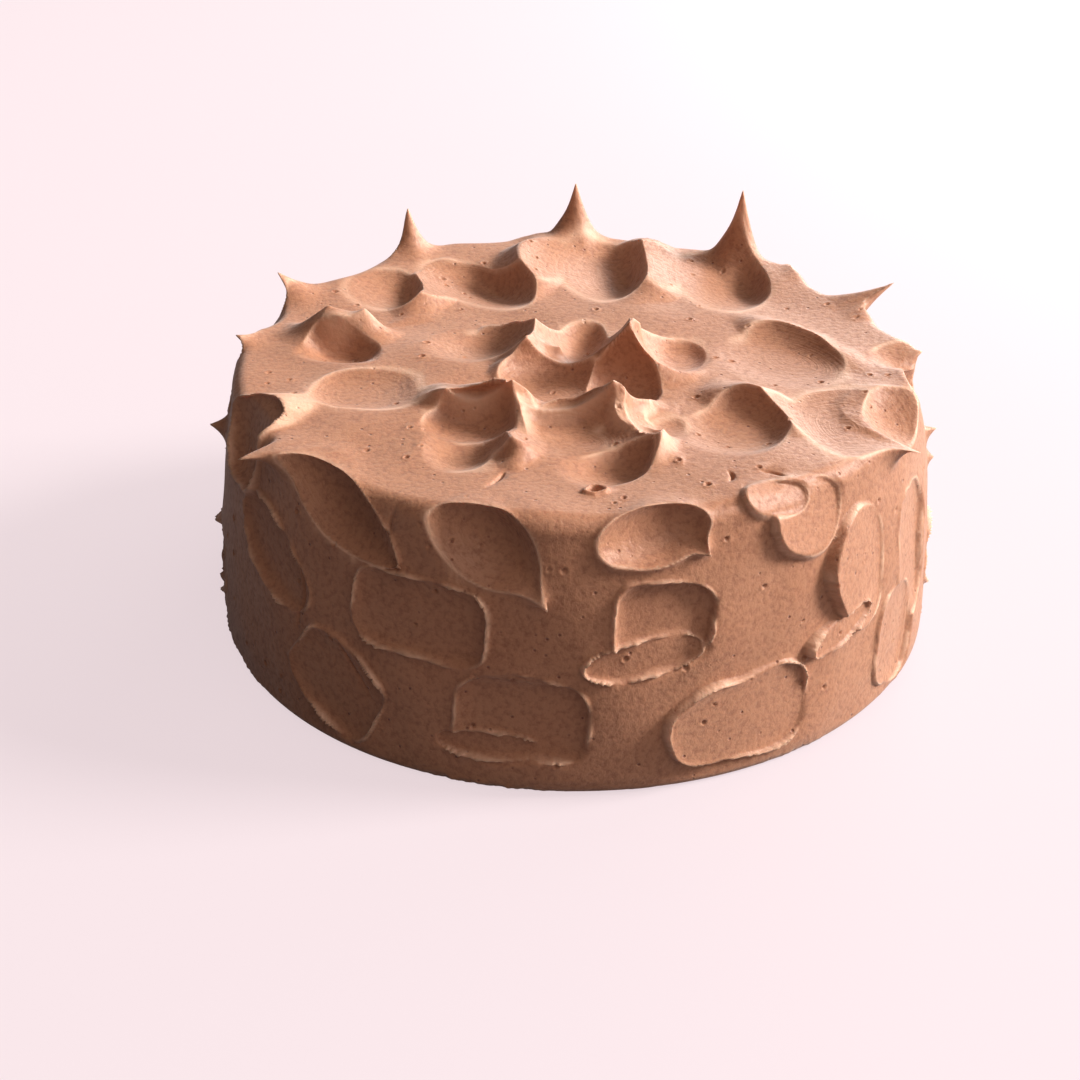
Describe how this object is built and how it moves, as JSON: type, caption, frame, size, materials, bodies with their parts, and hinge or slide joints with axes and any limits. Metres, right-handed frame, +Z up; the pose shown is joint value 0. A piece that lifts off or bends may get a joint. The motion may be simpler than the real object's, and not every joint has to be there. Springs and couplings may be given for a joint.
{
  "type": "malt cake",
  "caption": "Whole round layer cake, covered in malt frosting that a palette knife has worked into swirls, scoops and small peaks.",
  "frame": {"origin": "the centre of the cake's flat underside, on the surface it stands on", "axes": "+Z up along the cake's axis, -Y the side seen in the picture"},
  "size_m": [0.2169, 0.2146, 0.0981],
  "materials": {
    "malt_frosting": "soft whipped frosting, satin where the knife smoothed it, with fine pores and drag lines"
  },
  "bodies": {
    "root": {"cake": "malt_frosting"}
  },
  "joints": []
}
